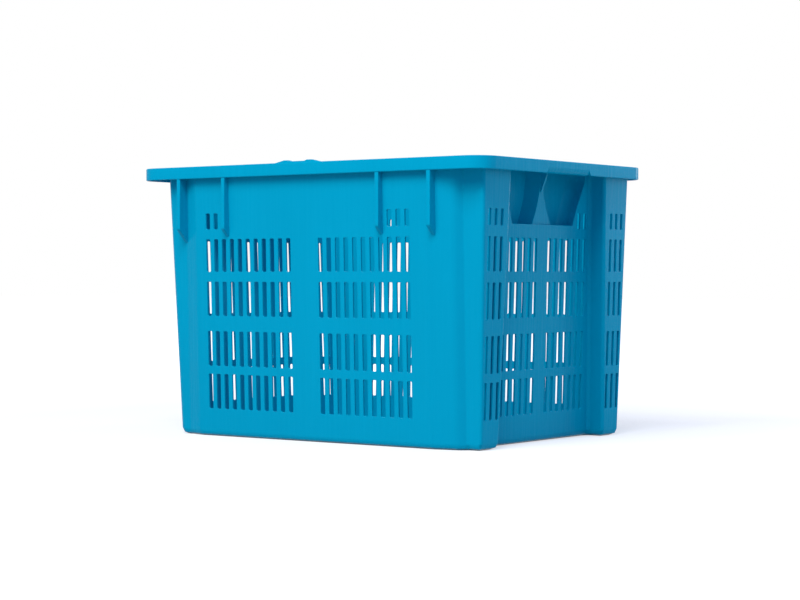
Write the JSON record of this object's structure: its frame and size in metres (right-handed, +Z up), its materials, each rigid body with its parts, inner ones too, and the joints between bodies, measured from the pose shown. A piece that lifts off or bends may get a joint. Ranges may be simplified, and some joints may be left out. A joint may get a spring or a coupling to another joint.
{
  "type": "vented harvest basket",
  "caption": "Open-topped moulded plastic harvest basket with slotted walls, flat skirted rim, hand pockets and stepped corners, to nest when turned one way and stack when turned the other.",
  "frame": {"origin": "on the ground under the middle of the rim", "axes": "+X along the long side towards the end with the proud corner posts, -Y the front side, +Z up"},
  "size_m": [0.61, 0.423, 0.389],
  "materials": {
    "blue_plastic": "satin moulded polyethylene"
  },
  "bodies": {
    "root": {"back_gusset_1": "blue_plastic", "back_gusset_2": "blue_plastic", "back_gusset_3": "blue_plastic", "back_gusset_4": "blue_plastic", "back_left_post": "blue_plastic", "back_left_rim_corner": "blue_plastic", "back_nib_1": "blue_plastic", "back_nib_2": "blue_plastic", "back_right_post": "blue_plastic", "back_right_rim_corner": "blue_plastic", "back_rim_rail": "blue_plastic", "back_wall": "blue_plastic", "floor": "blue_plastic", "front_gusset_1": "blue_plastic", "front_gusset_2": "blue_plastic", "front_gusset_3": "blue_plastic", "front_gusset_4": "blue_plastic", "front_left_post": "blue_plastic", "front_left_rim_corner": "blue_plastic", "front_nib_1": "blue_plastic", "front_nib_2": "blue_plastic", "front_right_post": "blue_plastic", "front_right_rim_corner": "blue_plastic", "front_rim_rail": "blue_plastic", "front_wall": "blue_plastic", "left_end_panel": "blue_plastic", "left_grip_lip": "blue_plastic", "left_hand_pocket": "blue_plastic", "left_pocket_fin": "blue_plastic", "left_rim_rail": "blue_plastic", "right_end_panel": "blue_plastic", "right_grip_lip": "blue_plastic", "right_hand_pocket": "blue_plastic", "right_pocket_fin": "blue_plastic", "right_rim_rail": "blue_plastic"}
  },
  "joints": []
}
